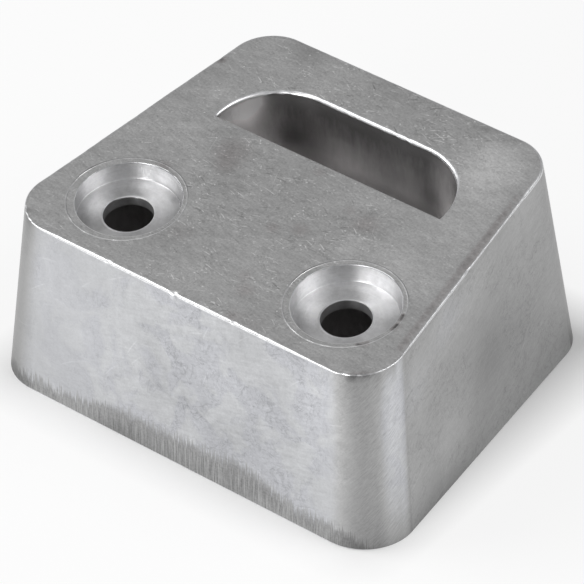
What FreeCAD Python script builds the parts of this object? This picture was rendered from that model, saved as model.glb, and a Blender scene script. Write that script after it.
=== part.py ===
import FreeCAD, Part
import math
import os
from FreeCAD import Placement, Rotation, Vector

# Sacrificial anode: one drafted zinc block with a sloping top, two counterbored bolt holes
# near its front edge and a D-shaped pocket behind them. Millimetres and degrees. The block
# stands on its base, +Z up, front face towards -Y, origin at the centre of the base.

# Block
base_width = 108.8  # along the foot of the front face, to the sharp corners
base_depth = 93.0
front_height = 43.7  # up to the front edge of the sloping top
top_slope = 6.8  # the top rises towards the back
side_taper = 6.9  # in plan, each side runs in towards the back
side_draft = 5.5
front_draft = 2.9
back_draft = 12.3
base_corner_radius = 11.8  # the upright corners tighten as they rise
top_corner_radius = 10.2  # at the height of the back edge
top_edge_radius = 0.6

# Bolt holes, square to the sloping top and set out on it
hole_pitch = 58.4
hole_setback = 17.65  # from the front edge of the top
bolt_hole_diameter = 11.0
counterbore_depth = 4.5
counterbore_mouth = 23.9
counterbore_floor = 22.7
spot_face_diameter = 26.2  # the shallow ring that the cutter left round each mouth
spot_face_depth = 0.2
web_thickness = 2.4  # zinc left under the bolt head
relief_diameter = 13.5  # cored from below, measured at the underside of the web
relief_draft = 1.5
relief_roof_chamfer = 1.0

# Pocket, sunk square to the sloping top and measured at its mouth
pocket_length = 59.5
pocket_width = 16.65
pocket_setback = 49.4  # from the front edge of the top to the pocket's straight side
pocket_corner_radius = 15.4
pocket_depth = 20.0
pocket_draft = 1.5
pocket_floor_radius = 3.0
pocket_rim_radius = 0.8

clear_over = 5.0  # how far a cutting shape stands past the surface that it cuts
touch = 1e-4  # how near a point must lie to a plane to count as on it


def rise(angle):
    """Sideways run for each millimetre along a face that leans by this angle."""
    return math.tan(math.radians(angle))


# The top plane meets the front face along this line; every top feature is set out from it.
top_front_y = -base_depth / 2 + front_height * rise(front_draft)
top_frame = Placement(Vector(0, top_front_y, front_height), Rotation(Vector(1, 0, 0), top_slope))

# Height of the back edge, where the rising top meets the leaning back face.
back_run = base_depth / 2 - top_front_y
back_height = (front_height + back_run * rise(top_slope)) / (1 + rise(back_draft) * rise(top_slope))


def tangent_arc(before, corner, after, radius):
    """Arc that rounds one corner of an outline, from the side before it to the side after it."""
    back = (before - corner).normalize()
    ahead = (after - corner).normalize()
    half = back.getAngle(ahead) / 2
    reach = radius / math.tan(half)
    crown = corner + (back + ahead).normalize() * (radius / math.sin(half) - radius)
    return Part.Arc(corner + back * reach, crown, corner + ahead * reach).toShape()


def ends(edge):
    return edge.valueAt(edge.FirstParameter), edge.valueAt(edge.LastParameter)


def rounded_wire(corners):
    """Closed wire through (point, radius) corners, with a tangent arc at each radius above 0."""
    points = [point for point, _ in corners]
    edges = []
    spans = []
    for i, (corner, radius) in enumerate(corners):
        if radius == 0:
            spans.append((corner, corner))
            continue
        arc = tangent_arc(points[i - 1], corner, points[(i + 1) % len(points)], radius)
        edges.append(arc)
        spans.append(ends(arc))
    for i, (arrive, _) in enumerate(spans):
        leave = spans[i - 1][1]
        if leave.distanceToPoint(arrive) > touch:
            edges.append(Part.LineSegment(leave, arrive).toShape())
    return Part.Wire(Part.__sortEdges__(edges))


def sharp_corners(height):
    """Where the four drafted walls meet at one height, from front left round to back left."""
    front = -base_depth / 2 + height * rise(front_draft)
    back = base_depth / 2 - height * rise(back_draft)
    lean = height * rise(side_draft) / math.cos(math.radians(side_taper))
    front_half = base_width / 2 - lean - (front + base_depth / 2) * rise(side_taper)
    back_half = base_width / 2 - lean - (back + base_depth / 2) * rise(side_taper)
    return [
        Vector(-front_half, front, height),
        Vector(front_half, front, height),
        Vector(back_half, back, height),
        Vector(-back_half, back, height),
    ]


def inward(foot, next_foot, head):
    """Unit normal, into the block, of the wall that stands on two corners of the foot."""
    return (head - foot).cross(next_foot - foot).normalize()


def corner_centre(corner, before, after, radius):
    """The point level with a corner that stands this radius off both of its walls."""
    spread = before.x * after.y - before.y * after.x
    return corner + Vector(after.y - before.y, before.x - after.x, 0) * (radius / spread)


def corner_cone(low, low_radius, high, high_radius):
    """Cone whose axis runs through low and high, where its side is these distances away."""
    axis = high - low
    lean = math.asin((low_radius - high_radius) / axis.Length)
    seam_side = math.copysign(1, -low.x)  # the seam lies inside the block
    outline = [Vector(0, 0, -clear_over)]
    for along in (-clear_over, axis.Length + clear_over):
        distance = low_radius + (high_radius - low_radius) * along / axis.Length
        outline.append(Vector(seam_side * distance / math.cos(lean), 0, along))
    outline.append(Vector(0, 0, axis.Length + clear_over))
    cone = flat_face(outline).revolve(Vector(0, 0, 0), Vector(0, 0, 1), 360)
    cone.Placement = Placement(low, Rotation(Vector(0, 0, 1), axis))
    return cone


def at_height(a, b, height):
    """The point at this height on the line through a and b."""
    return a + (b - a) * ((height - a.z) / (b.z - a.z))


def flat_face(points):
    return Part.Face(Part.makePolygon(points + points[:1]))


def drafted_block(height):
    """Block with a level top: four flat leaning walls and, at each corner, a cone tangent to two."""
    foot = sharp_corners(0)
    head = sharp_corners(height)
    normals = [inward(foot[i], foot[(i + 1) % 4], head[i]) for i in range(4)]
    head_radius = base_corner_radius - (base_corner_radius - top_corner_radius) * height / back_height
    layer = Part.makeBox(2 * base_width, 2 * base_depth, height, Vector(-base_width, -base_depth, 0))
    cones = []
    low_ring = []
    high_ring = []
    for i in range(4):
        walls = (normals[i - 1], normals[i])
        low = corner_centre(foot[i], *walls, base_corner_radius)
        high = corner_centre(head[i], *walls, head_radius)
        cones.append(corner_cone(low, base_corner_radius, high, head_radius).common(layer))
        for normal in walls:
            # The cone touches each wall along one straight line.
            tangent = (low - normal * base_corner_radius, high - normal * head_radius)
            low_ring.append(at_height(*tangent, 0))
            high_ring.append(at_height(*tangent, height))
    faces = [flat_face(low_ring), flat_face(high_ring)]
    for i in range(len(low_ring)):
        faces.append(flat_face([low_ring[i - 1], low_ring[i], high_ring[i], high_ring[i - 1]]))
    shell = Part.makeShell(faces)
    shell.sewShape()
    return Part.Solid(shell).fuse(cones).removeSplitter()


def on_top(edge):
    """True for an edge that lies in the plane of the sloping top."""
    level = top_frame.inverse()
    return all(abs(level.multVec(vertex.Point).z) < touch for vertex in edge.Vertexes)


def blank():
    """The block as it leaves the mould, cut to its slope, with the edge of the top rounded."""
    reach = base_width + base_depth
    waste = Part.makeBox(2 * reach, 2 * reach, reach, Vector(-reach, -reach, 0))
    waste.Placement = top_frame
    body = drafted_block(back_height + clear_over).cut(waste)
    return body.makeFillet(top_edge_radius, [edge for edge in body.Edges if on_top(edge)])


def bolt_hole(x):
    """Cutting shape of one hole: spot face, counterbore, bolt hole and relief, turned as one."""
    web_under = -counterbore_depth - web_thickness
    axis_height = front_height + hole_setback * math.sin(math.radians(top_slope))
    foot = -axis_height / math.cos(math.radians(top_slope)) - clear_over
    relief_radius = relief_diameter / 2
    foot_radius = relief_radius + (web_under - foot) * rise(relief_draft)
    turned = flat_face([
        Vector(0, 0, clear_over),
        Vector(spot_face_diameter / 2, 0, clear_over),
        Vector(spot_face_diameter / 2, 0, -spot_face_depth),
        Vector(counterbore_mouth / 2, 0, -spot_face_depth),
        Vector(counterbore_floor / 2, 0, -counterbore_depth),
        Vector(bolt_hole_diameter / 2, 0, -counterbore_depth),
        Vector(bolt_hole_diameter / 2, 0, web_under),
        Vector(relief_radius - relief_roof_chamfer, 0, web_under),
        Vector(relief_radius, 0, web_under - relief_roof_chamfer),
        Vector(foot_radius, 0, foot),
        Vector(0, 0, foot),
    ]).revolve(Vector(0, 0, 0), Vector(0, 0, 1), 360)
    turned.Placement = top_frame.multiply(Placement(Vector(x, hole_setback, 0), Rotation()))
    return turned


def pocket_outline(depth):
    """The pocket's D at one depth: straight towards the front, round at its two far corners."""
    inset = depth * rise(pocket_draft)
    half = pocket_length / 2 - inset
    near = pocket_setback + inset
    far = pocket_setback + pocket_width - inset
    radius = min(pocket_corner_radius - inset, far - near, half)
    return rounded_wire([
        (Vector(-half, near, -depth), 0),
        (Vector(half, near, -depth), 0),
        (Vector(half, far, -depth), radius),
        (Vector(-half, far, -depth), radius),
    ])


def pocket():
    """Cutting shape of the pocket, with its floor rounded into the drafted walls."""
    cutter = Part.makeLoft([pocket_outline(-clear_over), pocket_outline(pocket_depth)], True, True)
    floor = [edge for edge in cutter.Edges if edge.BoundBox.ZMax < -pocket_depth + touch]
    cutter = cutter.makeFillet(pocket_floor_radius, floor)
    cutter.Placement = top_frame
    return cutter


def pocket_rim(body):
    """The pocket's far edge and its two round ends; the straight near edge stays sharp."""
    level = top_frame.inverse()
    rim = []
    for edge in body.Edges:
        spot = level.multVec(edge.valueAt((edge.FirstParameter + edge.LastParameter) / 2))
        inside = abs(spot.x) < pocket_length / 2 + touch
        behind = pocket_setback + touch < spot.y < pocket_setback + pocket_width + touch
        if on_top(edge) and inside and behind:
            rim.append(edge)
    return rim


anode = blank()
for x in (-hole_pitch / 2, hole_pitch / 2):
    anode = anode.cut(bolt_hole(x))
anode = anode.cut(pocket())
anode = anode.makeFillet(pocket_rim_radius, pocket_rim(anode))

os.makedirs("parts", exist_ok=True)
anode.exportStep("parts/anode_block.step")
print("anode_block:", round(anode.Volume), "mm3, solids", len(anode.Solids), "valid", anode.isValid())
print("heights: front", front_height, "back", round(back_height, 2))
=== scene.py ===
import math
import bpy
import numpy as np
from mathutils import Matrix, Vector, noise
from mathutils.geometry import delaunay_2d_cdt


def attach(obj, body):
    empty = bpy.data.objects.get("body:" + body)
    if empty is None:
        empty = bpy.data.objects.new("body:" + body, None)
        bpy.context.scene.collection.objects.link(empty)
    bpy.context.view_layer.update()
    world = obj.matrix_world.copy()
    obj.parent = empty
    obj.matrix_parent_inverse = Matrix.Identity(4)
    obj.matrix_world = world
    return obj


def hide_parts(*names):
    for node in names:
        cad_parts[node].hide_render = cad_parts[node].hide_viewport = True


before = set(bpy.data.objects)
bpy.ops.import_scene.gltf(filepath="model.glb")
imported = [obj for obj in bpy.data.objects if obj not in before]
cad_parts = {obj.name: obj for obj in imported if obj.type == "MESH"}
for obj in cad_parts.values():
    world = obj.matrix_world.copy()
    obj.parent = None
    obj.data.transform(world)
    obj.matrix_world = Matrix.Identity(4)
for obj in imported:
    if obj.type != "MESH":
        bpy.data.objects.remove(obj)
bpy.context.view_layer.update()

mm = 0.001  # the object is worked out in millimetres and written in metres
quarterTurn = np.radians([15, 30, 45, 60, 75, 90])  # steps round a small radius
print("frame loaded")

# The block's sizes in millimetres and degrees
block = {
    "baseWidth": 108.8,
    "baseDepth": 93,
    "frontHeight": 43.7,
    "topSlope": 6.8,
    "sideTaper": 6.9,
    "sideDraft": 5.5,
    "frontDraft": 2.9,
    "backDraft": 12.3,
    "baseCornerRadius": 11.8,
    "topCornerRadius": 10.2,
    "edgeWorn": 0.6,  # radius of the top edge where handling has rubbed it
    "edgeKeen": 0.25,  # and at the front corners, where it is still keen
    "edgeRight": 0.7,  # how much of that keenness the right edge has
    "edgeWaver": 0.1,  # how far the rubbed radius wanders
    "edgeBack": 0.62,  # least radius at the back, so that the block keeps its height
    "edgeRightFrom": 30,  # where, by x, the right edge begins
    "edgeBackFrom": 20,  # and by y the back
    "edgeBlend": 40,  # how many rounds of smoothing join keen and rubbed edge, over a few millimetres
    "baseEdgeBreak": 0.3,
    "support": 0.25,  # flat strip beside each rounded edge, so that the shading doesn't spread
    "edgeStep": 0.4,  # distance between the points round the top edge
    "wallRows": 26,
}


def run(angle):  # sideways run for each millimetre along a leaning face
    return math.tan(math.radians(angle))


def unit(v):
    return v / np.linalg.norm(v, axis=-1, keepdims=True)


def waver(places, size, seed):  # smooth unevenness, about -1 to 1, that swells and sinks over this many mm
    return 1.6 * np.array([noise.noise(Vector(p) / size + Vector((seed, seed, 0))) for p in places])


def following(loop):  # which way a closed line runs at each of its points
    return unit(np.roll(loop, -1, 0) - np.roll(loop, 1, 0))


def nearTo(places, spot, size):  # 1 at the spot, fading out over this many mm
    return np.exp(-np.sum((places - spot) ** 2, 1) / size ** 2)


# The sloping top: every top feature is set out from its front edge
topFrontY = -block["baseDepth"] / 2 + block["frontHeight"] * run(block["frontDraft"])
topOrigin = np.array([0, topFrontY, block["frontHeight"]])
slope = math.radians(block["topSlope"])
upSlope = np.array([0, math.cos(slope), math.sin(slope)])
topNormal = np.array([0, -math.sin(slope), math.cos(slope)])
backRun = block["baseDepth"] / 2 - topFrontY
backRise = block["frontHeight"] + backRun * run(block["topSlope"])
backHeight = backRise / (1 + run(block["backDraft"]) * run(block["topSlope"]))


def onTop(x, along, depth=0):  # point on the sloping top, or this deep under it
    x, along, depth = np.broadcast_arrays(np.asarray(x, float), along, depth)
    return topOrigin + x[..., None] * [1, 0, 0] + along[..., None] * upSlope - depth[..., None] * topNormal


def sharpCorners(height):
    front = -block["baseDepth"] / 2 + height * run(block["frontDraft"])
    back = block["baseDepth"] / 2 - height * run(block["backDraft"])
    lean = height * run(block["sideDraft"]) / math.cos(math.radians(block["sideTaper"]))
    corners = []
    for side, y in ((-1, front), (1, front), (1, back), (-1, back)):
        half = block["baseWidth"] / 2 - lean - (y + block["baseDepth"] / 2) * run(block["sideTaper"])
        corners.append((side * half, y, height))
    return np.array(corners)


def atHeight(a, b, height):
    return a + (b - a) * ((height - a[2]) / (b[2] - a[2]))


def wallLines():  # upright lines round the walls as foot and head, and which of them stand in a corner
    foot, head = sharpCorners(0), sharpCorners(backHeight)
    inward = [unit(np.cross(head[i] - foot[i], foot[(i + 1) % 4] - foot[i])) for i in range(4)]
    radii = block["baseCornerRadius"], block["topCornerRadius"]
    arcs = []
    for i in range(4):
        before, after = inward[i - 1], inward[i]
        spread = before[0] * after[1] - before[1] * after[0]
        off = np.array([after[1] - before[1], before[0] - after[0], 0]) / spread
        low, high = foot[i] + off * radii[0], head[i] + off * radii[1]
        axis = unit(high - low)
        lean = math.asin((radii[0] - radii[1]) / np.linalg.norm(high - low))
        start, end = (unit(-n - axis * (-n @ axis)) for n in (before, after))
        angle = math.acos(start @ end)
        count = math.ceil(angle * radii[1] / block["edgeStep"])
        arc = []
        for turn in np.linspace(0, angle, count + 1):
            out = (start * math.sin(angle - turn) + end * math.sin(turn)) / math.sin(angle) / math.cos(lean)
            p, q = low + out * radii[0], high + out * radii[1]
            arc.append((atHeight(p, q, 0), atHeight(p, q, backHeight)))
        arcs.append(np.array(arc))
    lines, bent = [], []
    for i in range(4):
        lines.append(arcs[i])
        leave, arrive = arcs[i][-1], arcs[(i + 1) % 4][0]
        count = math.ceil(np.linalg.norm(arrive[1] - leave[1]) / block["edgeStep"])
        share = np.linspace(0, 1, count + 1)[1:-1, None, None]
        lines.append(leave + (arrive - leave) * share)
        bent += [1.0] * len(arcs[i]) + [0.0] * len(share)
    return np.concatenate(lines), np.array(bent)


points = []
faces = []
faceFinish = []
finishes = ["skin", "topFace", "edge", "turned", "cored", "under"]


def addRing(ring):
    points.extend(np.asarray(ring).tolist())
    return np.arange(len(points) - len(ring), len(points))


def joinRings(outer, inner, finish):
    a, b = np.roll(outer, -1), np.roll(inner, -1)
    faces.extend(np.stack([outer, a, b, inner], 1).tolist())
    faceFinish.extend([finishes.index(finish)] * len(outer))


def skinRings(rings, finish):
    ids = [addRing(r) for r in rings]
    for a, b in zip(ids, ids[1:]):
        joinRings(a, b, finish)
    return ids


def inside(loop, xy):  # which places lie inside a closed outline
    found = np.zeros(len(xy), bool)
    for (x0, y0), (x1, y1) in zip(loop, np.roll(loop, -1, 0)):
        crosses = (y0 > xy[:, 1]) != (y1 > xy[:, 1])
        if y0 != y1:
            found ^= crosses & (xy[:, 0] < (x1 - x0) * (xy[:, 1] - y0) / (y1 - y0) + x0)
    return found


def betweenLoops(loops, xy):  # inside the first outline and outside the others
    found = inside(loops[0], xy)
    for loop in loops[1:]:
        found &= ~inside(loop, xy)
    return found


def fillPlate(loops, place, step, finish, flip=False):  # flat face between an outline and its openings
    flat = [np.array(loop[1]) for loop in loops]
    low, high = flat[0].min(0), flat[0].max(0)
    rowStep = step * 0.87  # about that of even triangles
    gx, gy = np.meshgrid(np.arange(low[0], high[0], step), np.arange(low[1], high[1], rowStep))
    gx[1::2] += step / 2
    grid = np.stack([gx.ravel(), gy.ravel()], 1)
    grid = grid[betweenLoops(flat, grid)]
    rim = np.concatenate(flat)
    nearest = np.array([np.min(np.sum((rim - spot) ** 2, 1)) for spot in grid])
    grid = grid[nearest >= (step * 0.55) ** 2]  # too near the outline makes slivers
    ids = list(np.concatenate([loop[0] for loop in loops])) + list(addRing(place(grid[:, 0], grid[:, 1])))
    sides = []
    start = 0
    for loop in flat:
        n = len(loop)
        sides += [(start + i, start + (i + 1) % n) for i in range(n)]
        start += n
    spots = [Vector(p) for p in np.concatenate([rim, grid])]
    verts, _, tris, origin, _, _ = delaunay_2d_cdt(spots, sides, [], 0, 1e-7, True)
    centres = np.array([[sum(verts[k].x for k in t) / 3, sum(verts[k].y for k in t) / 3] for t in tris])
    for tri, kept in zip(tris, betweenLoops(flat, centres)):
        if kept:
            corners = [int(ids[origin[k][0]]) for k in tri]
            faces.append(corners[::-1] if flip else corners)
            faceFinish.append(finishes.index(finish))


# Walls, from the foot up to the rounded edge of the top
lines, bent = wallLines()
footLine, headLine = lines[:, 0], lines[:, 1]
cutAt = ((topOrigin - footLine) @ topNormal) / ((headLine - footLine) @ topNormal)
topLine = footLine + (headLine - footLine) * cutAt[:, None]
along = following(topLine)
down = unit(footLine - topLine)
down = unit(down - along * np.sum(down * along, 1)[:, None])
acrossTop = np.cross(topNormal, along)
footAlong = following(footLine)
footIn = np.cross([0, 0, 1], footAlong)

atBack = topLine[:, 1] > block["edgeBackFrom"]
onRightEdge = (topLine[:, 0] > block["edgeRightFrom"]) & ~atBack
keen = np.maximum(bent * (topLine[:, 1] < 0), block["edgeRight"] * onRightEdge)
for _ in range(block["edgeBlend"]):
    keen = (np.roll(keen, 1) + keen + np.roll(keen, -1)) / 3
edgeRadius = block["edgeWorn"] + (block["edgeKeen"] - block["edgeWorn"]) * keen
edgeRadius += block["edgeWaver"] * (waver(topLine, 7, 3) + 0.6 * waver(topLine, 1.7, 5))  # coarse and fine
edgeRadius = np.maximum(edgeRadius, np.where(atBack, block["edgeBack"], block["edgeKeen"] * 0.7))
half = np.arccos(np.sum(down * acrossTop, 1)) / 2
bisector = unit(down + acrossTop)
centre = topLine + bisector * (edgeRadius / np.sin(half))[:, None]
setOff = (edgeRadius / np.tan(half))[:, None]
first = unit(topLine + down * setOff - centre)
last = unit(topLine + acrossTop * setOff - centre)
sweep = np.arccos(np.sum(first * last, 1))[:, None]
edgeRings = []
for share in np.linspace(0, 1, 7):
    turned = (first * np.sin(sweep * (1 - share)) + last * np.sin(sweep * share)) / np.sin(sweep)
    edgeRings.append(centre + turned * edgeRadius[:, None])
edgeRings.append(edgeRings[-1] + acrossTop * block["support"])

wallTop = edgeRings[0]
underRing = footLine + footIn * block["baseEdgeBreak"]
footRing = footLine + unit(headLine - footLine) * block["baseEdgeBreak"]
strip = block["support"] / block["frontHeight"]
shares = sorted([*np.linspace(0, 1, block["wallRows"] + 1), strip, 1 - strip])
wallRings = [footRing + (wallTop - footRing) * s for s in shares]
under = addRing(underRing)
walls = skinRings(wallRings, "skin")
joinRings(under, walls[0], "skin")
edges = skinRings(edgeRings[1:-1], "edge")
joinRings(walls[-1], edges[0], "edge")
topOuter = addRing(edgeRings[-1])
joinRings(edges[-1], topOuter, "topFace")
topOuterXY = np.stack([edgeRings[-1] @ [1, 0, 0], (edgeRings[-1] - topOrigin) @ upSlope], 1)
print("walls and top edge built")

# Bolt holes, from the ring on the top down to the underside
hole = {
    "pitch": 58.4,
    "setback": 17.65,
    "ringRadius": 13.02,  # shallow ring that the cutter left
    "ringDepth": (0.11, 0.09),  # middle depth, and how much more of it lies at the front than at the back
    "burr": 0.05,  # metal that the cutter pushed up round the ring
    "mouths": {-1: (11.65, 0.42, 0.2), 1: (11.75, 0.22, 0.15)},  # left, right: radius, and how far off
    "floorRadius": 11.35,
    "floorCorner": 0.22,
    "depth": 4.5,
    "boltRadius": 5.5,
    "web": 2.4,
    "reliefRadius": 6.75,
    "reliefDraft": 1.5,
    "reliefChamfer": 1,
    "columns": 220,
    "lips": {-1: (176, 20, 0.16), 1: (115, 50, 0.08)},  # bolt holes: middle, reach in degrees, height
}

# Painted highlights, reflections and shade on the turned metal: lighter and darker places by degrees round
# each hole from the right
turnedPaintedLight = {
    "turn": [*range(0, 256, 15), 300, 360],
    "wall": [-0.3, -0.4, -0.45, -0.5, -0.44, -0.28, 0.1, -0.35, -0.33, -0.15, -0.06, 0.22, 0.12, -0.1, -0.2,
             -0.1, -0.06, -0.06, -0.1, -0.3],
    "outer": [-0.1, -0.15, -0.2, -0.13, -0.34, -0.21, -0.02, 0.04, 0.01, -0.04, -0.07, -0.18, -0.25, -0.2,
              -0.26, -0.35, -0.3, -0.3, -0.2, -0.1],  # outer part of the floor
    "inner": [-0.08, 0.07, 0.13, 0.18, 0.12, 0, -0.15, -0.3, -0.27, -0.17, -0.17, -0.08, 0.16, 0.3, 0.22,
              -0.08, -0.33, -0.45, -0.2, -0.08],
    "floorFrom": (7.3, 2.4),  # radius where the inner part begins to give way, and over how much
    # painted shade where wall and floor meet, dimming the highlight there: from which radius, over how much,
    # and the same by depth
    "foot": [0, 0, 0, -0.15, -0.28, -0.3, -0.25, -0.08, 0, 0, -0.02, -0.15, -0.22, -0.12, 0, 0, 0, 0, 0, 0],
    "footFrom": (9, 1.4, 4.1, 0.3),
    "ring": [0.1, -0.08, -0.1, -0.4, -0.4, -0.38, -0.35, -0.33, -0.3, -0.3, -0.45, -0.85, -0.45, -0.1, 0.05,
             -0.2, -0.5, 0.1, 0.3, 0.1],  # painted shade and highlight along the cutter's ring, so that its bright line comes and goes
    "sides": {-1: (0.1, -0.03, 1), 1: (0.1, 0.1, 0.4)},  # left, right: more on wall, on floor, share of foot
    "rim": -0.35,  # painted shade and highlight on the rims: darkest at the back and brightest at the front
    # painted shade down the bolt holes' walls
    "bolt": -0.4,
    # painted highlight along the back of the bolt holes' rims
    "boltRim": 0.3,
}
shaded = []


def ringTone(turn, side, q, d, finish):  # painted light and shade round one ring of a hole's mesh, of radius q at depth d
    def lookUp(name):
        return np.interp(np.degrees(turn), turnedPaintedLight["turn"], turnedPaintedLight[name])

    if finish == "edge":
        if np.all(q > hole["ringRadius"]):
            return lookUp("ring")
        if np.all(np.asarray(d) < 1):
            return turnedPaintedLight["rim"] * np.sin(turn)
        return turnedPaintedLight["boltRim"] * np.clip(np.sin(turn), 0, 1)
    if d > hole["depth"]:
        return np.full(len(turn), turnedPaintedLight["bolt"])
    wallMore, floorMore, footShare = turnedPaintedLight["sides"][side]
    footRadius, footWidth, footDepth, footHeight = turnedPaintedLight["footFrom"]
    foot = footShare * lookUp("foot")
    if d <= hole["depth"] - 0.01:
        return lookUp("wall") + foot * np.clip((d - footDepth) / footHeight, 0, 1) + wallMore
    fromRadius, over = turnedPaintedLight["floorFrom"]
    inner, outer = lookUp("inner"), lookUp("outer")
    onFloor = inner + (outer - inner) * np.clip((q - fromRadius) / over, 0, 1)
    return onFloor + foot * np.clip((q - footRadius) / footWidth, 0, 1) + floorMore


def boltHole(side):
    x = side * hole["pitch"] / 2
    turn = np.linspace(0, 2 * math.pi, hole["columns"], endpoint=False)
    outward = np.stack([np.cos(turn), np.sin(turn), np.zeros_like(turn)], 1)
    floorDepth = hole["depth"]
    roof = floorDepth + hole["web"]
    mouth, *offCentre = hole["mouths"][side]
    ring, floor, bolt = hole["ringRadius"], hole["floorRadius"], hole["boltRadius"]
    sunk = hole["ringDepth"][0] - hole["ringDepth"][1] * np.sin(turn)
    rough = waver(outward * ring + x, 5, 7) + 0.7 * waver(outward * ring + x, 1.3, 9)
    burr = -hole["burr"] * np.clip(0.5 + 0.5 * rough - 0.6 * np.sin(turn), 0, 1.4)
    middle, reach, high = hole["lips"][side]
    lip = -high * np.exp(-((np.degrees(turn) - middle) / reach) ** 4)
    relief, chamfer, r = hole["reliefRadius"], hole["reliefChamfer"], hole["floorCorner"]
    lean = (mouth - floor) / (floorDepth - sunk)
    # Radius and depth of each ring of points, from the top inwards, with small steps round every edge
    profile = [
        (ring + 0.3, 0, "topFace"), (ring + 0.18, burr / 2, "edge"), (ring + 0.06, burr, "edge"),
        (ring, burr / 3, "topFace"), (ring - 0.05, sunk * 0.6, "topFace"), (ring - 0.12, sunk, "topFace"),
        (ring - 0.4, sunk, "topFace"), (mouth + 0.3, sunk, "topFace"), (mouth + 0.16, sunk, "edge"),
        (mouth + 0.06 + 0.02 * rough, sunk + 0.02, "edge"), (mouth + 0.01, sunk + 0.09, "edge"),
        *((mouth - lean * (d - sunk), d, "turned") for d in np.linspace(0.4, floorDepth - r, 9)),
        *((floor - r + r * math.cos(a), floorDepth - r + r * math.sin(a), "turned") for a in quarterTurn),
        *((q, floorDepth, "turned") for q in np.linspace(floor - 0.8, bolt + 0.6, 8)),
        (bolt + 0.3, floorDepth, "edge"), (bolt + 0.16, floorDepth + lip * 0.6, "edge"),
        (bolt + 0.05, floorDepth + 0.03 + lip, "edge"), (bolt, floorDepth + 0.12, "turned"),
        *((bolt, d, "turned") for d in np.linspace(floorDepth + 0.3, roof - 0.1, 4)),
        (bolt + 0.1, roof, "cored"), (relief - chamfer, roof, "cored"), (relief, roof + chamfer, "cored"),
    ]
    rings = []
    for q, d, _ in profile:
        share = np.clip((floorDepth - d) / (floorDepth - sunk), 0, 1) * (np.asarray(q) < mouth + 0.4)
        offX, offAlong = (off * share for off in offCentre)
        rings.append(onTop(x + offX + q * np.cos(turn), hole["setback"] + offAlong + q * np.sin(turn), d))
    start = rings[-1]
    sideways = outward[:, :1] * [1, 0, 0] + outward[:, 1:2] * upSlope
    direction = -topNormal + run(hole["reliefDraft"]) * sideways
    length = -start[:, 2] / direction[:, 2]
    rings += [start + direction * (length * s)[:, None] for s in (0.25, 0.5, 0.75, 1)]
    ids = [addRing(loop) for loop in rings]
    # the turned and edge rings take their painted light and shade
    for (q, d, finish), ringIds in zip(profile, ids):
        if finish in ("turned", "edge"):
            shaded.append((ringIds, ringTone(turn, side, q, d, finish)))
    for outer, inner, finish in zip(ids, ids[1:], [row[2] for row in profile] + ["cored"] * 4):
        joinRings(inner, outer, finish)
    widest = profile[0][0]
    mouthXY = np.stack([x + widest * np.cos(turn), hole["setback"] + widest * np.sin(turn)], 1)
    return (ids[0], mouthXY), (ids[-1], rings[-1][:, :2])


# Pocket, a D with its straight side towards the bolt holes
pocket = {
    "length": 59.5,
    "width": 16.65,
    "setback": 49.4,
    "cornerRadius": 15.4,
    "depth": 20,
    "draft": 1.5,
    "floorRadius": 3,
    "rightStretch": 1.022,  # the right end was drawn out a little
    "rimRadius": 0.8,
    "rimKeen": 0.12,  # the straight side stays sharp
    "rimKeenTo": 57.5,  # and so does the right end, as far up the slope as this
    # broken places in the rim: x, along, how far they spread, how much radius they take
    "rimFlaws": [
        (-24.5, 63.2, 1.5, 0.45), (-21.5, 64.2, 0.8, 0.3), (6.5, 66, 0.7, 0.2), (9.5, 66, 0.6, 0.25),
    ],
    "step": 0.4,
}


def pocketOutline(inset):  # the D at one depth, station by station as at every other depth
    halfLength, near, far = pocket["length"] / 2, pocket["setback"], pocket["setback"] + pocket["width"]
    cx, cy = halfLength - pocket["cornerRadius"], far - pocket["cornerRadius"]
    inset = np.broadcast_to(inset, (len(stations),))
    rows = []
    for (side, share), i in zip(stations, inset):
        r = pocket["cornerRadius"] - i
        start = math.asin(max(0, near + i - cy) / r)
        upright = max(0, cy - near - i)
        if side == "near":
            end = cx + r * math.cos(start)
            rows.append((-end + 2 * end * share, near + i))
        elif side == "far":
            rows.append((cx - 2 * cx * share, far - i))
        else:
            goes = (share if side == "right" else 1 - share) * (upright + r * (math.pi / 2 - start))
            a = start + max(0, goes - upright) / r
            x, y = cx + r * math.cos(a), near + i + goes if goes < upright else cy + r * math.sin(a)
            rows.append((x if side == "right" else -x, y))
    return np.array([(x * (pocket["rightStretch"] if x > 0 else 1), y) for x, y in rows])


def stationsRound():
    radius = pocket["cornerRadius"]
    end = pocket["width"] - radius + radius * math.pi / 2
    sides = {"near": pocket["length"], "right": end, "far": pocket["length"] - 2 * radius, "left": end}
    rows = []
    for side, length in sides.items():
        count = math.ceil(length / pocket["step"])
        rows += [(side, k / count) for k in range(count)]
    return rows


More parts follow.
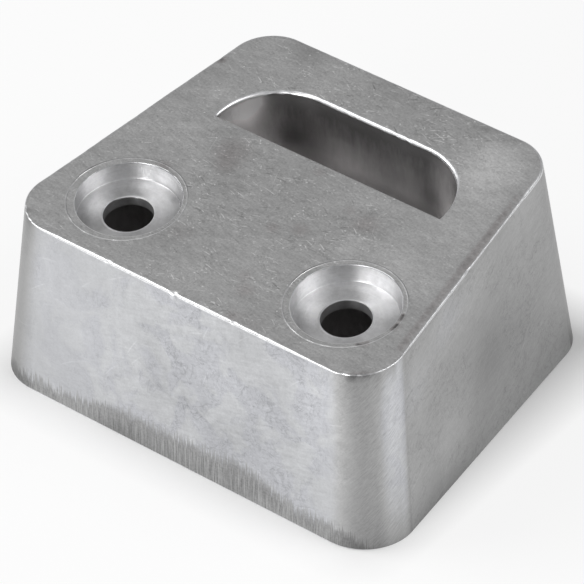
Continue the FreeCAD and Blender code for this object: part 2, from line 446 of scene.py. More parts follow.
def pocketRings():
    mouth = pocketOutline(0)
    along = mouth[:, 1] - pocket["setback"]
    keenTo = np.where(mouth[:, 0] > 0, pocket["rimKeenTo"] - pocket["setback"], 0)
    rubbedAndShaded = np.clip((along - keenTo - 0.05) / np.where(mouth[:, 0] > 0, 4, 0.5), 0, 1)
    spots = np.concatenate([mouth, np.zeros((len(mouth), 1))], 1)
    worn = pocket["rimRadius"] * (0.92 + 0.1 * waver(spots, 6, 2) + 0.06 * waver(spots, 1.5, 4))
    for x, a, size, loss in pocket["rimFlaws"]:
        worn -= loss * nearTo(mouth, (x, a), size)
    rim = pocket["rimKeen"] + (np.clip(worn, 0.2, 0.85) - pocket["rimKeen"]) * rubbedAndShaded
    rings = [(pocketOutline(-rim - block["support"]), 0 * rim)]
    rings += [(pocketOutline(-rim + rim * math.sin(a)), rim - rim * math.cos(a)) for a in (0, *quarterTurn)]
    lean = run(pocket["draft"])
    r = pocket["floorRadius"]
    for d in [1.1, *np.linspace(1.5, pocket["depth"] - r, 12)]:
        rings.append((pocketOutline(d * lean), np.full(len(rim), d)))
    base = (pocket["depth"] - r) * lean
    for a in quarterTurn:
        inset = base + r * (1 - math.cos(a))
        rings.append((pocketOutline(inset), np.full(len(rim), pocket["depth"] - r + r * math.sin(a))))
    return rings


def onBase(x, y):
    return np.stack([x, y, np.zeros_like(x)], 1)


mouthLoops, reliefLoops = zip(boltHole(-1), boltHole(1))
stations = stationsRound()
rings = pocketRings()
ids = [addRing(onTop(flat[:, 0], flat[:, 1], d)) for flat, d in rings]
for k, (outer, inner) in enumerate(zip(ids, ids[1:])):
    joinRings(inner, outer, "topFace" if k == 0 else "edge" if k < 7 else "cored")  # 7 rings round the rim
fillPlate([(ids[-1], rings[-1][0])], lambda x, a: onTop(x, a, pocket["depth"]), 1.5, "cored")
fillPlate([(topOuter, topOuterXY), *mouthLoops, (ids[0], rings[0][0])], onTop, 1.0, "topFace")
fillPlate([(under, underRing[:, :2]), *reliefLoops], onBase, 3, "under", flip=True)
print("holes, pocket and flat faces built")

# Nicks in the edge of the top and in the cutter's rings: x, along, how far they spread, how deep
knocks = {
    "edge": [
        (-20.1, 0, 0.5, 0.3), (-2.3, 0, 0.7, 0.45), (-45.3, 3.6, 0.7, 0.3), (-43.6, 2.2, 0.6, 0.3),
        (-42, 1.2, 0.5, 0.3), (41.6, 0.3, 0.9, 0.3), (44.2, 1.5, 0.8, 0.25), (46.4, 3.4, 0.6, 0.25),
        (-41.3, 65, 1, 0.1), (13.6, 0.2, 0.5, 0.2), (22, 0.2, 0.4, 0.12), (44.8, 40, 0.6, 0.2),
    ],
    "ring": [
        (39.4, 10.1, 0.8, 0.1), (41.8, 17.8, 0.8, 0.1), (41.5, 20.7, 0.7, 0.1), (18.3, 23.6, 0.8, 0.08),
    ],
}
at = np.array(points)
middle = onTop(0, 35, 20)  # the nicks in the edge are knocked in towards the middle of the block
for x, a, size, deep in knocks["edge"]:
    at = at + unit(middle - onTop(x, a)) * deep * nearTo(at, onTop(x, a), size)[:, None]
for x, a, size, deep in knocks["ring"]:
    at = at - topNormal * deep * nearTo(at, onTop(x, a), size)[:, None]

# Lighter and darker places: where, how far it spreads, and by what share of the brightness
tones = {
    "darkest": -0.63,  # a stain never takes all the brightness
    "pocketFrom": 0.8,  # the pocket's painted light and shade, and its clean places, grow over this depth
    "top": [
        (-20.3, 42.2, 4.5, -0.14), (-18.2, 37.8, 2.6, -0.1), (2.5, 27.5, 1.6, -0.14), (7.8, 30.3, 2, -0.14),
        (18.3, 39.2, 3.2, -0.13), (12.9, 41.2, 1.4, -0.1), (9.4, 9.2, 2, -0.13), (6.6, 12.8, 1.6, -0.1),
        (0.2, 47.3, 1.6, -0.1), (-12.7, 15.9, 3.5, -0.06), (12, 1.6, 1.2, -0.12), (-31.6, 42.6, 8, 0.09),
        (-23.6, 34.2, 2.6, 0.08), (19.9, 33.5, 2.6, 0.14), (31.8, 33.3, 3, 0.13), (33, 63, 9, 0.22),
        (36, 47, 6, 0.08), (-2, 86, 9, -0.05), (8, 23, 5, 0.04), (-29.2, 30.3, 1.8, -0.16),
        (-40.6, 65, 1, -0.4),
    ],
    "front": [
        (-38, 17, 6, -0.05), (-8, 30, 5, -0.07), (2, 18, 7, -0.08), (12, 13, 6, -0.08), (24, 30, 6, -0.05),
        (28, 20, 5, -0.04), (-22, 22, 9, 0.03), (14, 28, 5, 0.03), (38, 25, 7, 0.06), (-36, 34, 6, 0.04),
        (36, 40, 6, 0.08), (-32, 26, 13, 0.05), (-1, 18.5, 1.6, 0.06), (-6, 14, 6, -0.07),
        (17, 14, 7, -0.09), (-4, 22, 5, -0.06), (16, 40, 6, -0.09), (36, 34, 6, 0.1),
    ],
    # painted highlight and shade on the right wall, lighter towards its front corner: y, height
    "right": [
        (-34, 10, 13, 0.16), (-14, 12, 9, 0.12), (-28, 36, 9, 0.12), (-14, 42, 7, 0.16), (4, 22, 8, -0.08),
        (18, 21, 8, -0.07), (-30, 30, 8, 0.04), (-2, 43, 7, 0.08), (2, 22, 9, -0.06), (-2, 12, 10, -0.03),
        (4, 33, 8, -0.02),
    ],
    # broad and soft on the top: x, along
    "broad": [
        (29, 73, 7, 0.36), (-28, 73, 11, 0.09), (0, 73, 7, 0.05), (28, 34, 6, 0.14), (38, 32, 6, 0.16),
        (36, 50, 9, 0.1), (-37, 56, 9, -0.02), (-25, 78.5, 4, -0.16), (22, 78.5, 3.5, -0.16),
        (-3, 78.5, 6, -0.08), (-24, 46.5, 3, -0.13), (13, 44.5, 4.5, 0.13), (-14, 34, 3.5, -0.1),
        (-15, 12, 3.5, -0.11), (6, 18, 6, 0.09), (-4, 6, 5, 0.1), (6, 6, 5, 0.09), (-44.5, 2.5, 2, -0.2),
        (44, 2, 2, -0.1), (26, 2, 3, -0.07), (-40, 38, 5, 0.07), (-16, 70, 3, 0.14), (20, 30, 2.5, 0.2),
        (-16, 22, 2, 0.14), (-33, 56, 4, 0.15), (28, 42, 3, 0.1), (20, 46, 3, 0.1), (29, 78.5, 4, -0.22),
        (-28, 78.5, 4, -0.14), (28.7, 65.5, 4, 0.2), (-13.3, 75.5, 5, 0.14),
    ],
    # painted light and shade in the pocket, lighter on the left end wall and in places near the rim, darker
    # deep down: x, along, depth, reach, share, and how far the stain and painted reflection have stayed off
    "pocket": [
        (-28.5, 58, 4, 4.5, 0.85, 0.9), (-29.5, 51.5, 2, 4, 0.7, 0.9), (-27.2, 60.2, 1.5, 2.2, 0.4, 0.7),
        (-21, 63, 11, 5, -0.4, 0), (-16, 66, 14, 6, -0.35, 0), (0, 50, 15, 8, -0.6, 0),
        (14, 50, 15, 8, -0.62, 0), (0, 65, 13, 7, -0.3, 0), (14, 65, 13, 7, -0.3, 0),
        (-22, 63.2, 13.5, 4, -0.3, 0), (-17, 65.8, 3, 3, 0.4, 0), (9.5, 66, 4, 5, 0.35, 0),
        (-22.5, 63.4, 3.5, 2.5, 0.3, 0), (17, 65.8, 4, 3, 0.3, 0), (16.7, 65.6, 14, 4, -0.4, 0),
        (22, 63.9, 3, 3, 0.6, 0), (5.5, 65.7, 13.5, 4, -0.15, 0),
    ],
    # long streaks on the top: from x, along, to x, along, half width, share
    "streaks": [
        (38.7, 9.4, 39.9, 10.8, 0.45, -0.9), (41.9, 17, 41.9, 18.6, 0.42, -0.9),
        (41.6, 20.1, 41.3, 21.4, 0.4, -0.8), (39.9, 65, 43.4, 40, 0.8, -0.3),
        (43.4, 39, 46.7, 13, 0.7, -0.2), (40.9, -0.5, 46.8, 4.1, 0.55, -0.38),
    ],
}
tone = np.zeros(len(at))
for x, a, size, amount in tones["top"]:
    tone += amount * nearTo(at, onTop(x, a), size)
for x, z, size, amount in tones["front"]:
    tone += amount * nearTo(at, (x, -block["baseDepth"] / 2 + z * run(block["frontDraft"]), z), size)

# Painted reflection and shade: the corners and the right wall are painted darker than the front, where they
# reflect the shadowed floor, by share of the brightness
bands = {
    # by degrees round from the front
    "tone": ([-180, -120, -97, -60, -35, -25, -15, -7, 0, 4, 10, 16, 22, 28, 38, 46, 52, 58, 63, 68, 74, 84,
              92, 97, 120, 180],
             [-0.1, -0.25, -0.38, -0.38, -0.38, -0.34, -0.23, -0.15, -0.1, -0.14, -0.25, -0.34, -0.39, -0.41,
              -0.42, -0.39, -0.34, -0.21, -0.07, 0.07, 0.16, 0.08, -0.12, -0.38, -0.45, -0.1]),
    "busy": ([-180, -50, -12, 6, 30, 90, 97, 180], [0.5, 0.45, 0.45, 0.8, 0.45, 0.7, 1.2, 0.6]),  # how lively
    "rub": ([10, 22, 50, 75, 97, 120], [0.25, 0.5, 1.2, 1.3, 0.5, 0]),  # where slanting rub marks show
    "cornerFoot": ([20, 46, 56, 63.5, 68.5, 73, 81, 86, 96.5, 97],  # painted shade: the right corner's foot is darker still
                   [0, -0.02, -0.14, -0.23, -0.34, -0.43, -0.42, -0.3, -0.15, 0]),
    "head": ([8, 22, 32, 38, 52, 60, 80, 86, 92],  # painted shade too at the head of both front corners
             [0, -0.2, -0.2, -0.08, -0.05, -0.33, -0.5, -0.1, -0.05]),
    # by x across the front
    "across": ([-45, -30, -14, 12, 30], [0.01, 0.01, 0.045, 0.045, 0]),
    "frontBusy": ([-32, -12, 34, 44], [0.36, 1.45, 1.45, 0.75]),  # it grows lively and calms again
    "topBusy": ([-42, -30, -15, 18, 30], [0.5, 0.7, 1.05, 1.05, 0.35]),  # the same across the top
    "belt": ([-36, -27, -22, -16, -10, -2, 16, 20, 26, 40],  # the lowest few millimetres
             [0.2, 0.24, 0, -0.2, -0.08, 0, 0, 0.12, 0.2, 0.15]),
    "footDark": -0.2,  # painted shade at the foot of every wall but the front
    "rightFoot": 0.3,  # lightened again towards the back of the right wall
    "rightFootRun": (-16, 4),  # from y, to y
    # how far up or down each of them reaches
    "reach": {"foot": 9, "rightFoot": 5, "corner": 24, "head": 5, "belt": 3.5},
    "cornerTo": -20,  # the front corners end at this y
    "headTo": -34,  # the marks at the head of the corners, and the belt's strip, end at this one
}
# painted reflection and shade round the walls, by facing and across the front
facing = np.degrees(np.arctan2(-footIn[:, 0], footIn[:, 1]))
footX, footY = footLine[:, 0], footLine[:, 1]
onFront = (np.abs(facing) < 0.5) & (footY < 0)
onRight = footX > 0
bandTone = np.interp(facing, *bands["tone"]) + onFront * np.interp(footX, *bands["across"])
busyRound = np.where(onFront, np.interp(footX, *bands["frontBusy"]), np.interp(facing, *bands["busy"]))
rubRound = np.interp(facing, *bands["rub"], 0, 0)
offFront = np.clip((np.abs(facing) - 12) / 50, 0, 1)
cornerFoot = (footY < bands["cornerTo"]) * np.interp(facing, *bands["cornerFoot"], 0, 0)
headDark = (footY < bands["headTo"]) * np.interp(np.abs(facing), *bands["head"], 0)
beltTone = onFront * np.interp(footX, *bands["belt"])
start, end = bands["rightFootRun"]
alongRight = np.clip((footY - start) / (end - start), 0, 1)
rightFoot = onRight * (np.abs(facing - 90) < 20) * bands["rightFoot"] * alongRight

# Strip along the foot that a belt has linished, by its height at places across the front
linished = {
    "height": ([-52, -44, -32, -24, -20, -14, -4, 4, 12, 16, 20, 24, 28, 32, 40, 46, 49, 52],
               [2, 3.7, 3.9, 4.8, 6.1, 7.1, 7, 7.4, 7.7, 8.4, 7.9, 7.1, 5.6, 4.4, 4.8, 3.9, 1, -3]),
    "elsewhere": -5,  # too low to show
    "offWalls": -9,
}
stripTop = np.where(footY < bands["headTo"], np.interp(footX, *linished["height"]), linished["elsewhere"])
stripIn = np.zeros(len(at)) + linished["offWalls"]
busy = np.interp(at[:, 0], *bands["topBusy"])
rub = np.zeros(len(at))
band = np.zeros(len(at))
for x, a, size, amount in tones["broad"]:
    band += amount * nearTo(at, onTop(x, a), size)
reach = bands["reach"]
# the walls take their painted reflection and shade from the bands table
for ring in walls:
    height = at[ring, 2]
    band[ring] = bandTone + offFront * bands["footDark"] * np.exp(-height / reach["foot"])
    band[ring] += cornerFoot * np.exp(-(height / reach["corner"]) ** 2)
    band[ring] += rightFoot * np.exp(-height / reach["rightFoot"])
    band[ring] += headDark * np.exp(-(topLine[:, 2] - height) / reach["head"])
    band[ring] += beltTone * np.exp(-(height / reach["belt"]) ** 2)
    for y, z, size, amount in tones["right"]:  # painted highlight and shade on the right wall, which fade out round the corner
        off = (at[ring, 1] - y) ** 2 + (height - z) ** 2
        band[ring] += onRight * np.clip(facing / 40 - 1, 0, 1) * amount * np.exp(-off / size ** 2)
    stripIn[ring] = stripTop - height
    busy[ring] = busyRound
    rub[ring] = rubRound
# the holes' painted light and shade replaces the band on their rings
for ring, amount in shaded:
    band[ring] = amount
# painted light and shade in the pocket, and where the stain and painted reflection stay off
insidePocket = np.clip((topOrigin - at) @ topNormal / tones["pocketFrom"], 0, 1)
for x, a, depth, size, amount, clean in tones["pocket"]:
    share = insidePocket * nearTo(at, onTop(x, a, depth), size)
    band += amount * share
    rub += clean * share
for x0, a0, x1, a1, size, amount in tones["streaks"]:
    start, lie = onTop(x0, a0), onTop(x1, a1) - onTop(x0, a0)
    share = np.clip((at - start) @ lie / (lie @ lie), 0, 1)
    tone += amount * nearTo(at, start + share[:, None] * lie, size)
tone = np.maximum(tone, tones["darkest"])
print("marks laid out")


def addObject(name, data):
    made = bpy.data.objects.new(name, data)
    bpy.context.scene.collection.objects.link(made)
    return made


anodeMesh = bpy.data.meshes.new("anodeBlock")
anodeMesh.from_pydata([tuple(p) for p in at * mm], [], faces)
anodeMesh.polygons.foreach_set("material_index", faceFinish)
# band carries the painted light and shade of the walls, holes and pocket, with broad tones on the top
for name, values in {"tone": tone, "band": band, "stripIn": stripIn, "busy": busy, "rub": rub}.items():
    anodeMesh.attributes.new(name, "FLOAT", "POINT").data.foreach_set("value", values)
anodeMesh.shade_smooth()
anodeMesh.set_sharp_from_angle(angle=math.radians(40))
anode = addObject("anodeBlock", anodeMesh)
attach(anode, "root")
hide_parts("anode_block")


def linear(hexColour):  # sRGB hex to linear
    channels = [int(hexColour[i:i + 2], 16) / 255 for i in (0, 2, 4)]
    return [c / 12.92 if c <= 0.04045 else ((c + 0.055) / 1.055) ** 2.4 for c in channels] + [1]


def feed(socket, source):  # sets a socket, or links it to a node or to one output of a node
    if isinstance(source, bpy.types.Node):
        source = next(s for s in source.outputs if s.enabled)
    if isinstance(source, bpy.types.NodeSocket):
        socket.id_data.links.new(source, socket)
    else:
        socket.default_value = source


def adder(tree):  # gives the function that adds a node: its inputs by name or in order, then its settings
    def add(kind, inputs=(), operation=None, **settings):
        node = tree.nodes.new("ShaderNode" + kind)
        if operation:
            node.operation = operation
        for key, value in settings.items():
            setattr(node, key, value)
        sockets = [s for s in node.inputs if s.enabled]
        named = inputs if isinstance(inputs, dict) else dict(enumerate(inputs))
        for key, source in named.items():
            feed(sockets[key] if isinstance(key, int) else next(s for s in sockets if s.name == key), source)
        return node

    return add


def painted(add, name):  # what was laid on the mesh's points under this name
    return add("Attribute", attribute_name=name).outputs["Fac"]


def startMetal(name):  # bare metal, with the block's own millimetres and the top's own x, along and height
    material = bpy.data.materials.new(name)
    material.use_nodes = True
    anodeMesh.materials.append(material)
    add = adder(material.node_tree)
    surface = material.node_tree.nodes["Principled BSDF"]
    surface.inputs["Metallic"].default_value = 1
    toBlock = {"Vector": add("TexCoord").outputs["Object"], "Scale": (1 / mm,) * 3}
    toTop = {"Rotation": (-slope, 0, 0), "Location": (0, -topOrigin @ upSlope, -topOrigin @ topNormal)}
    return add, surface, add("Mapping", toBlock), add("Mapping", {**toBlock, **toTop})


raggedness = {
    "noises": {"stains": (2.5, 4, 0.7)},
    "share": (0.5, 1.5),  # how far it weakens and strengthens every stain and light place
}


def layFinish(add, surface, place, colour, share, roughness, height):  # a finish with its tones, the band's painted light and shade, and its bump
    ragged = noises(add, place, raggedness["noises"])["stains"]
    least, most = raggedness["share"]
    spread = {"Value": ragged, "From Min": 0.3, "From Max": 0.7, "To Min": least, "To Max": most}
    uneven = add("MapRange", spread)
    whole = add("Math", [painted(add, "band"), 1], "ADD")
    toned = add("Math", [painted(add, "tone"), uneven, whole], "MULTIPLY_ADD")
    bright = add("Math", [toned, share], "MULTIPLY")
    lit = add("Mix", {"A": colour, "B": bright, "Factor": 1}, data_type="RGBA", blend_type="MULTIPLY")
    feed(surface.inputs["Base Color"], lit)
    feed(surface.inputs["Roughness"], roughness)
    feed(surface.inputs["Normal"], add("Bump", {"Height": height, "Distance": mm}))


def summed(add, base, amounts, marks):  # base, and this much of each mark, which swings about 0.5
    total = base - 0.5 * sum(amounts.values())
    for name, amount in amounts.items():
        total = add("Math", [marks[name], amount, total], "MULTIPLY_ADD")
    return total


def addUp(add, finish, marks):  # brightness, roughness and height in mm, as the finish's dictionary has them
    return [summed(add, *finish[key], marks) for key in ("bright", "rough", "high")]


def noises(add, place, table):  # size in mm, detail and roughness of each
    made = {}
    for name, (size, detail, roughness) in table.items():
        settings = {"Vector": place, "Scale": 1 / size, "Detail": detail, "Roughness": roughness}
        made[name] = add("TexNoise", settings)
    return made


def tinted(add, first, second, factor):  # from one colour or node to another colour
    first = linear(first) if isinstance(first, str) else first
    return add("Mix", {"A": first, "B": linear(second), "Factor": factor}, data_type="RGBA")


def unrolled(add, place):  # on any wall: how far round, and how high
    wayRound = add("VectorMath", [place, (1, 1, 0)], "DOT_PRODUCT").outputs["Value"]
    return add("CombineXYZ", [wayRound, add("SeparateXYZ", [place]).outputs["Z"]])


def scratches(add, flat, spacing, length, width, lie, spread, seed):  # thin marks, one to a cell
    moved = add("VectorMath", [flat, (seed * 31.7, seed * 17.3, 0)], "ADD")
    cell = add("TexVoronoi", {"Vector": moved, "Scale": 1 / spacing}, voronoi_dimensions="2D").outputs
    offset = add("VectorMath", [moved, cell["Position"]], "SUBTRACT")
    chance = add("SeparateColor", [cell["Color"]]).outputs
    swing = [chance["Red"], math.radians(spread), -math.radians(lie + spread / 2)]
    angle = add("Math", swing, "MULTIPLY_ADD")
    lying = add("VectorRotate", {"Vector": offset, "Angle": angle}, rotation_type="Z_AXIS")
    split = add("SeparateXYZ", [lying]).outputs
    bow = add("Math", [split["X"], split["X"]], "MULTIPLY")
    bowed = add("Math", [bow, 0.12 / length, split["Y"]], "MULTIPLY_ADD")
    across = add("Math", [bowed], "ABSOLUTE")
    thin = add("MapRange", {"Value": across, "From Min": width, "From Max": width * 0.2})
    toEnd = add("Math", [split["X"]], "ABSOLUTE")
    ends = add("MapRange", {"Value": toEnd, "From Min": length / 2, "From Max": length / 4})
    mark = add("Math", [thin, ends], "MULTIPLY")
    strong = add("Math", [chance["Blue"], 2.5], "POWER")  # few are strong and many are faint
    return add("Math", [mark, strong], "MULTIPLY")


def strokes(add, flat, length, width, slant, detail):  # long thin streaks that swing about 0.5
    turned = add("VectorRotate", {"Vector": flat, "Angle": -math.radians(slant)}, rotation_type="Z_AXIS")
    drawn = add("VectorMath", [turned, (1 / length, 1 / width, 1)], "MULTIPLY")
    return add("TexNoise", {"Vector": drawn, "Scale": 1, "Detail": detail, "Roughness": 0.6})


def veins(add, place, size, width):  # thin lines that wander round loops of this size
    loops = {"Vector": place, "Scale": 1 / size, "Detail": 5, "Roughness": 0.62, "Distortion": 0.8}
    off = add("Math", [add("TexNoise", loops), 0.5], "SUBTRACT")
    near = add("Math", [off], "ABSOLUTE")
    return add("MapRange", {"Value": near, "From Min": width, "From Max": 0})


# In each finish "bright", "rough" and "high" have a base and how far each mark swings it: of the metal's
# brightness, of the shader's roughness, and of the height in mm. Sizes are in mm too.

# Zinc chilled against an iron mould: a frosty grey skin, bluer and finely veined where the metal folded,
# with slanting rub marks on the corner; a belt has linished the foot of the front in fine upright lines,
# painted a darker grey for their duller reflection
chill = {
    "pale": "cbccce",
    "blue": "c5c6ca",
    # plain grey that the skin takes where its painted shade is darkest
    "rubbedAndShaded": "cacaca",
    # the belt's strip, painted darker grey for its duller reflection
    "linished": "9c9c9c",
    "cloud": 10,
    "calm": 0.7,  # how pale the skin is where no cloud shows
    "noises": {"mottle": (1.8, 4, 0.7), "grain": (0.45, 2, 0.5)},  # size, detail and roughness
    "brush": (6, 0.7, 15),  # length, width and slant of the strokes that the metal ran in
    "rub": (3, 0.32, 38),  # and of the rub marks on the corner
    "belt": (7, 0.36, 90),  # and of the belt's lines, as coarse as they show
    "veins": [(6, 0.02, -0.14), (2.6, 0.03, -0.1)],  # size of the loops, width and share of the brightness
    "scratches": (7, 6, 0.2, 40, 60, 1),  # spacing, length, half width, lie and spread in degrees, seed
    "level": 0.92,  # of the skin's brightness, to which its marks are added
    "bright": (0, {"mottle": 0.22, "brush": 0.2}),
    "brightRub": (0, {"rub": 0.6}),
    "brightBelt": (1, {"belt": 1.7, "grain": 0.6}),
    "brightMarks": {"scratches": 0.15, "grain": 0.16},  # these lighten it wherever they lie
    "rough": (0.42, {"mottle": 0.12}),
    "high": (0, {"mottle": 0.03, "grain": 0.004}),
    "highBelt": (0, {"belt": 0.03}),
    "highCloud": 0.4,  # the wall sinks and swells with the clouds
    "beltEdge": (12, 5.2, 7),  # how ragged the strip's upper edge is, and between which values it fades in
}


def chillCastZinc():
    add, surface, place, _ = startMetal("chillCastZinc")
    flat = unrolled(add, place)
    busy = painted(add, "busy")
    marks = noises(add, place, chill["noises"])
    for name, detail in (("brush", 4), ("rub", 3), ("belt", 2)):
        marks[name] = strokes(add, flat, *chill[name], detail)
    marks["scratches"] = scratches(add, flat, *chill["scratches"])
    cloud = add("TexNoise", {"Vector": place, "Scale": 1 / chill["cloud"], "Detail": 4, "Distortion": 0.9})
    # Pale skin with blue clouds, weaker where the wall is calm, and plain grey where the painted shade of the
    # bands is darkest
    clouded = add("MapRange", {"Value": cloud, "From Min": 0.46, "From Max": 0.56})
    swing = add("Math", [clouded, chill["calm"]], "SUBTRACT")
    clouded = add("Math", [swing, busy, chill["calm"]], "MULTIPLY_ADD")
    bareAndShaded = add("MapRange", {"Value": painted(add, "band"), "From Min": -0.1, "From Max": -0.3})
    colour = tinted(add, tinted(add, chill["blue"], chill["pale"], clouded), chill["rubbedAndShaded"], bareAndShaded)
    share, roughness, height = addUp(add, chill, marks)
    folds = add("MapRange", {"Value": cloud, "From Min": 0.6, "From Max": 0.46})
    for size, width, amount in chill["veins"]:
        folded = add("Math", [veins(add, place, size, width), folds], "MULTIPLY")
        share = add("Math", [folded, amount, share], "MULTIPLY_ADD")
    share = add("Math", [share, busy], "MULTIPLY")
    rubbedAndShaded = summed(add, *chill["brightRub"], marks)
    share = add("Math", [rubbedAndShaded, painted(add, "rub"), share], "MULTIPLY_ADD")
    for name, amount in chill["brightMarks"].items():
        share = add("Math", [marks[name], amount, share], "MULTIPLY_ADD")
    share = add("Math", [share, chill["level"]], "ADD")
    # Foot: the belt's lines, with a ragged upper edge
    swing, edgeFrom, edgeTo = chill["beltEdge"]
    ragged = add("Math", [marks["belt"], swing, painted(add, "stripIn")], "MULTIPLY_ADD")
    strip = add("MapRange", {"Value": ragged, "From Min": edgeFrom, "From Max": edgeTo})
    colour = tinted(add, colour, chill["linished"], strip)
    share = add("Mix", {"A": share, "B": summed(add, *chill["brightBelt"], marks), "Factor": strip})
    height = add("Mix", {"A": height, "B": summed(add, *chill["highBelt"], marks), "Factor": strip})
    height = add("Math", [cloud, chill["highCloud"], height], "MULTIPLY_ADD")
    layFinish(add, surface, place, colour, share, roughness, height)


# Top of the casting, skimmed and then scuffed in use: an even grey, grained and smeared, finely scratched
skimmed = {
    "colour": "cdcdcd",
    "dark": "cbc8c8",  # a brown cast where it is stained
    "noises": {"grain": (0.5, 3, 0.6), "patch": (6, 5, 0.65)},
    "smear": (3.2, 0.7, -12),  # length, width and slant
    "drift": (9, 2.4, 20),
    "bright": (1.03, {"grain": 0.6, "smear": 0.36, "drift": 0.36, "patch": 0.2}),
    "rough": (0.44, {"smear": 0.1}),
    "high": (0, {"grain": 0.012, "smear": 0.02, "patch": 0.12}),
    "veins": [(5.5, 0.022, -0.2), (2.4, 0.03, -0.12)],  # where scuffed patches meet
    # spacing, length, half width, lie and spread in degrees, seed, and how bright
    "scratches": [
        (2.6, 2.6, 0.16, 0, 70, 1, 0.8), (1.3, 0.9, 0.18, 0, 120, 2, 0.65), (5, 5, 0.14, 10, 50, 3, 0.6),
        (2.3, 0.45, 0.3, 0, 180, 4, 1.1), (3.1, 3, 0.2, 0, 80, 5, -0.45), (9, 8, 0.13, 90, 180, 6, 0.35),
    ],
}


def scuffedZinc():
    add, surface, place, flat = startMetal("scuffedZinc")
    marks = noises(add, place, skimmed["noises"])
    for name in ("smear", "drift"):
        marks[name] = strokes(add, flat, *skimmed[name], 4)
    share, roughness, height = addUp(add, skimmed, marks)
    thick = add("MapRange", {"Value": marks["patch"], "From Min": 0.38, "From Max": 0.6})
    thick = add("Math", [thick, painted(add, "busy")], "MULTIPLY")
    lines = [(veins(add, place, *row[:2]), row[2]) for row in skimmed["veins"]]
    lines += [(scratches(add, flat, *row[:6]), row[6]) for row in skimmed["scratches"]]
    for line, amount in lines:
        shown = add("Math", [line, thick], "MULTIPLY")
        share = add("Math", [shown, amount, share], "MULTIPLY_ADD")
    stainedAndShaded = add("MapRange", {"Value": painted(add, "tone"), "From Min": -0.02, "From Max": -0.14})
    colour = tinted(add, skimmed["colour"], skimmed["dark"], stainedAndShaded)
    layFinish(add, surface, place, colour, share, roughness, height)


# Edges rubbed by handling: the skin is gone and the bare zinc is smooth and bright
handled = {
    "dull": "dcdddf",
    "bareAndShaded": "f0f0f1",
    "noises": {"knock": (0.9, 3, 0.6)},
    "bright": (1, {"knock": 0.2}),
    "rough": (0.38, {"knock": 0.15}),
    "high": (0, {"knock": 0.03}),
}


def rubbedZinc():
    add, surface, place, _ = startMetal("rubbedZinc")
    marks = noises(add, place, handled["noises"])
    colour = tinted(add, handled["dull"], handled["bareAndShaded"], marks["knock"])
    layFinish(add, surface, place, colour, *addUp(add, handled, marks))


# Counterbores and bolt holes, cut by a turning tool: grooves too fine to see spread the light across them
cut = {
    "colour": "e4e4e4",
    "dull": "dfdfe1",
    "groove": 0.3,  # drawn as coarse as it shows
    "grooveBreak": 1.6,  # how often a groove changes on its way round
    "noises": {"cloud": (3, 3, 0.6), "wear": (1.1, 4, 0.65)},
    "spread": 0.6,
    "bright": (1, {"groove": 0.2, "cloud": 0.3, "wear": 0.4}),
    "rough": (0.45, {"cloud": 0.1}),
    "high": (0, {"groove": 0.01}),
}


def turnedZinc():
    add, surface, place, flat = startMetal("turnedZinc")
    split = add("SeparateXYZ", [flat]).outputs
    side = add("Math", [split["X"]], "SIGN")
    offAxis = add("Math", [side, -hole["pitch"] / 2, split["X"]], "MULTIPLY_ADD")
    out = add("CombineXYZ", [offAxis, add("Math", [split["Y"], hole["setback"]], "SUBTRACT")])
    radius = add("VectorMath", [out], "LENGTH").outputs["Value"]
    outward = add("VectorMath", [out], "NORMALIZE")
    # Round the hole in the top's own frame, then turned into the block's frame
    lying = add("VectorRotate", {"Vector": outward, "Angle": math.pi / 2}, rotation_type="Z_AXIS")
    roundly = add("VectorRotate", {"Vector": lying, "Angle": slope}, rotation_type="X_AXIS")
    across = add("VectorMath", [roundly, add("NewGeometry").outputs["Normal"]], "CROSS_PRODUCT")
    feed(surface.inputs["Tangent"], add("VectorMath", [across], "NORMALIZE"))
    surface.inputs["Anisotropic"].default_value = cut["spread"]
    # How far the tool had come: inwards over the floor, downwards along the wall
    travel = add("Math", [radius, split["Z"]], "SUBTRACT")
    step = add("Math", [travel, 1 / cut["groove"]], "MULTIPLY")
    turning = add("VectorMath", {"Vector": outward, "Scale": cut["grooveBreak"]}, "SCALE")
    passing = add("VectorMath", [turning, add("CombineXYZ", {"Z": step})], "ADD")
    marks = noises(add, passing, {"groove": (1, 3, 0.6)}) | noises(add, place, cut["noises"])
    colour = tinted(add, cut["colour"], cut["dull"], marks["cloud"])
    layFinish(add, surface, place, colour, *addUp(add, cut, marks))


# Pocket and reliefs, cored in the mould: a duller skin, stained dark under the rim, where the dark also
# stands in as a painted reflection of the pocket's dark inside
cored = {
    "pale": "d8d6d6",
    # dark colour of the stain and of the painted dark reflection under the rim
    "stain": "7c7b7b",
    "drip": (1.5, 1.5, 6),  # width, width and length
    "noises": {"mottle": (1.6, 5, 0.7)},
    "stainAndReflectionEdge": (8, -12, 0),  # how far drips carry the stain and painted reflection, and the heights where it ends and is full
    "bright": (1, {"mottle": 0.2, "drip": 0.15}),
    "rough": (0.45, {"mottle": 0.1}),
    "high": (0, {"mottle": 0.05}),
}


def coredZinc():
    add, surface, place, flat = startMetal("coredZinc")
    drawn = add("Mapping", {"Vector": flat, "Scale": [1 / size for size in cored["drip"]]})
    marks = noises(add, drawn, {"drip": (1, 4, 0.65)}) | noises(add, place, cored["noises"])
    carried, ends, full = cored["stainAndReflectionEdge"]
    height = add("SeparateXYZ", [flat]).outputs["Z"]
    # stain and painted dark reflection, fullest at the rim and fading with depth, carried down in drips
    deep = add("Math", [marks["drip"], carried, height], "MULTIPLY_ADD")
    stain = add("MapRange", {"Value": deep, "From Min": ends, "From Max": full})
    stainedAndShaded = tinted(add, cored["pale"], cored["stain"], stain)
    colour = tinted(add, stainedAndShaded, cored["pale"], painted(add, "rub"))
    layFinish(add, surface, place, colour, *addUp(add, cored, marks))


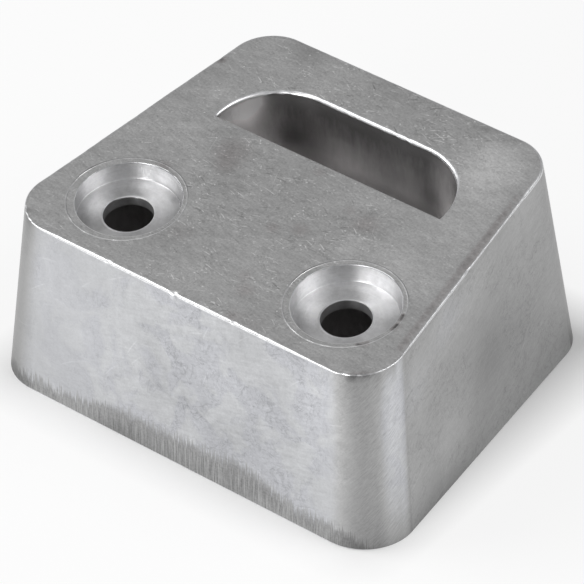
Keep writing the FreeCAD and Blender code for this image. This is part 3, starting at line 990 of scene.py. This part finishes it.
# Underside, linished flat so that the block beds against the hull: long straight belt lines
bed = {
    "warm": "b4b3b1",
    "cold": "c6c6c7",
    "line": (0.5, 30, 1),  # width and length
    "turned": 0.1,  # the block lay a little askew on the belt, in radians
    "noises": {"cloud": (12, 4, 0.5)},
    "bright": (1, {"line": 0.35, "cloud": 0.1}),
    "rough": (0.4, {"line": 0.15}),
    "high": (0, {"line": 0.03}),
}


def linishedZinc():
    add, surface, place, _ = startMetal("linishedZinc")
    ruled = {"Vector": place, "Scale": [1 / size for size in bed["line"]], "Rotation": (0, 0, bed["turned"])}
    marks = noises(add, add("Mapping", ruled), {"line": (1, 4, 0.7)}) | noises(add, place, bed["noises"])
    colour = tinted(add, bed["warm"], bed["cold"], marks["cloud"])
    layFinish(add, surface, place, colour, *addUp(add, bed, marks))


for makeFinish in (chillCastZinc, scuffedZinc, rubbedZinc, turnedZinc, coredZinc, linishedZinc):
    makeFinish()  # in the order of the finishes list
print("zinc finishes made")

# Camera, at the photograph's angle
view = {
    "azimuth": 36.994,
    "elevation": 37.927,
    "roll": 0.818,
    "distance": 934.9,
    "target": (-1.94, -3.79, 19.62),
    "lens": 264.76,
}
cameraData = bpy.data.cameras.new("camera")
cameraData.lens = view["lens"]
cameraData.sensor_width = 36
cameraData.clip_end = 20
camera = addObject("camera", cameraData)
azimuth, elevation = math.radians(view["azimuth"]), math.radians(view["elevation"])
level = math.cos(elevation)
towards = Vector((math.sin(azimuth) * level, -math.cos(azimuth) * level, math.sin(elevation)))
roll = Matrix.Rotation(math.radians(view["roll"]), 3, "Z")
turnedTo = (-towards).to_track_quat("-Z", "Y").to_matrix() @ roll
standsAt = (Vector(view["target"]) + towards * view["distance"]) * mm
camera.matrix_world = Matrix.Translation(standsAt) @ turnedTo.to_4x4()
bpy.context.scene.camera = camera

# Studio: a pale floor that fades to white for the camera and in the metal, and keeps the block's shadow
studio = {
    "floorSize": 6,
    "floorColour": "f2f2f2",
    "fade": 0.8,  # share of the floor that is plain white to the camera and in reflections
    "under": (45, 43),  # half the width and depth that the block covers, where the floor stays dark
    "edgeFade": 14,
    "world": "9b9b9b",
    "away": 1.3,  # how far every lamp stands, in metres
    # name, degrees round from +X, degrees up, size in metres, power
    "lamps": [
        ("front softbox", 270, 10, 0.4, 9.1),
        ("left high softbox", 210, 50, 0.6, 5.3),
        ("left softbox", 210, 30, 0.6, 2.9),
        ("back softbox", 30, 50, 0.6, 3.3),
        ("right softbox", 0, 50, 0.6, 1.6),
    ],
}
floorMesh = bpy.data.meshes.new("floor")
size = studio["floorSize"]
corners = [(-size, -size, 0), (size, -size, 0), (size, size, 0), (-size, size, 0)]
floorMesh.from_pydata(corners, [], [(0, 1, 2, 3)])
floor = addObject("floor", floorMesh)
paper = bpy.data.materials.new("backdropPaper")
paper.use_nodes = True
floorMesh.materials.append(paper)
add = adder(paper.node_tree)
matt = paper.node_tree.nodes["Principled BSDF"]
matt.inputs["Base Color"].default_value = linear(studio["floorColour"])
matt.inputs["Roughness"].default_value = 1
rays = add("LightPath").outputs
seen = add("Math", [rays["Is Camera Ray"], rays["Is Glossy Ray"]], "ADD")
seen = add("Math", [seen, rays["Is Transmission Ray"]], "ADD")
spot = add("VectorMath", {"Vector": add("TexCoord").outputs["Object"], "Scale": 1 / mm}, "SCALE")
spot = add("VectorMath", [spot], "ABSOLUTE")
spot = add("VectorMath", [spot, (*studio["under"], 0)], "SUBTRACT")
spot = add("VectorMath", [spot, (0, 0, 0)], "MAXIMUM")
offBlock = add("VectorMath", [spot], "LENGTH").outputs["Value"]
clear = add("MapRange", {"Value": offBlock, "From Max": studio["edgeFade"], "To Max": studio["fade"]})
fade = add("Math", [seen, clear], "MULTIPLY")
faded = add("MixShader", [fade, matt, add("Emission", {"Color": (1, 1, 1, 1)})])
feed(paper.node_tree.nodes["Material Output"].inputs["Surface"], faded)

for name, turn, rise, size, power in studio["lamps"]:
    turn, rise = math.radians(turn), math.radians(rise)
    data = bpy.data.lights.new(name, "AREA")
    data.size = size
    data.energy = power
    softbox = addObject(name, data)
    aim = Vector((math.cos(turn) * math.cos(rise), math.sin(turn) * math.cos(rise), math.sin(rise)))
    softbox.location = aim * studio["away"]
    softbox.rotation_euler = aim.to_track_quat("Z", "Y").to_euler()

world = bpy.data.worlds.new("studio")
bpy.context.scene.world = world
world.use_nodes = True
world.node_tree.nodes["Background"].inputs["Color"].default_value = linear(studio["world"])
bpy.context.scene.view_settings.view_transform = "Standard"
print("camera, floor and lamps set")

print("points", len(at), "faces", len(faces))
